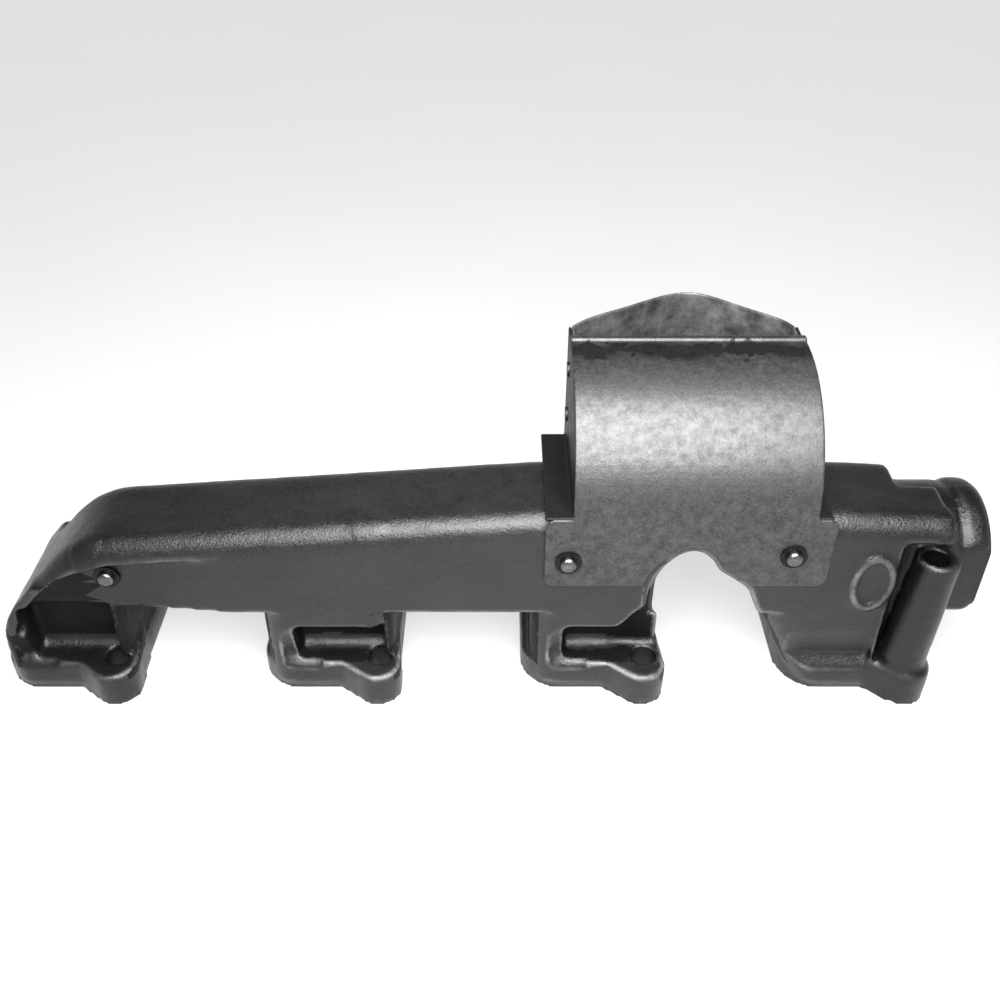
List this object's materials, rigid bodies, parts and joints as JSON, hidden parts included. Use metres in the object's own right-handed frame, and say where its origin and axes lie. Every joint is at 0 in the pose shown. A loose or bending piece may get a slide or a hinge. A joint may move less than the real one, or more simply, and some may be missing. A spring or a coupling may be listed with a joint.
{
  "type": "exhaust manifold",
  "caption": "Cast-iron log exhaust manifold on port flanges with diagonal bolt ears, an end outlet collar and a sheet-steel hot-air stove.",
  "frame": {"origin": "centre of the four-port row on the mating plane, midway between the second and third ports", "axes": "+Z points away from the cylinder head, +X runs along the log to the outlet, and the front face with the plug and stove screws looks along -Y"},
  "size_m": [0.4119, 0.1087, 0.1404],
  "materials": {
    "cast_iron": "black painted sand-cast surface, semi-gloss",
    "stove_sheet": "black painted sheet steel, mottled and slightly grainy",
    "rivet_steel": "black painted steel",
    "screw_steel": "plain steel, worn bright",
    "washer_steel": "black oxide"
  },
  "bodies": {
    "root": {"manifold_casting": "cast_iron", "stove_front_shell": "stove_sheet", "stove_rear_shell": "stove_sheet", "stove_left_cheek": "stove_sheet", "stove_right_cheek": "stove_sheet", "stove_left_rivets": "rivet_steel", "stove_right_rivets": "rivet_steel", "tap_plug": "screw_steel", "tap_plug_washer": "washer_steel", "front_screw_left": "screw_steel", "front_screw_right": "screw_steel", "front_washer_left": "washer_steel", "front_washer_right": "washer_steel", "rear_screw_left": "screw_steel", "rear_screw_right": "screw_steel", "rear_washer_left": "washer_steel", "rear_washer_right": "washer_steel"}
  },
  "joints": []
}
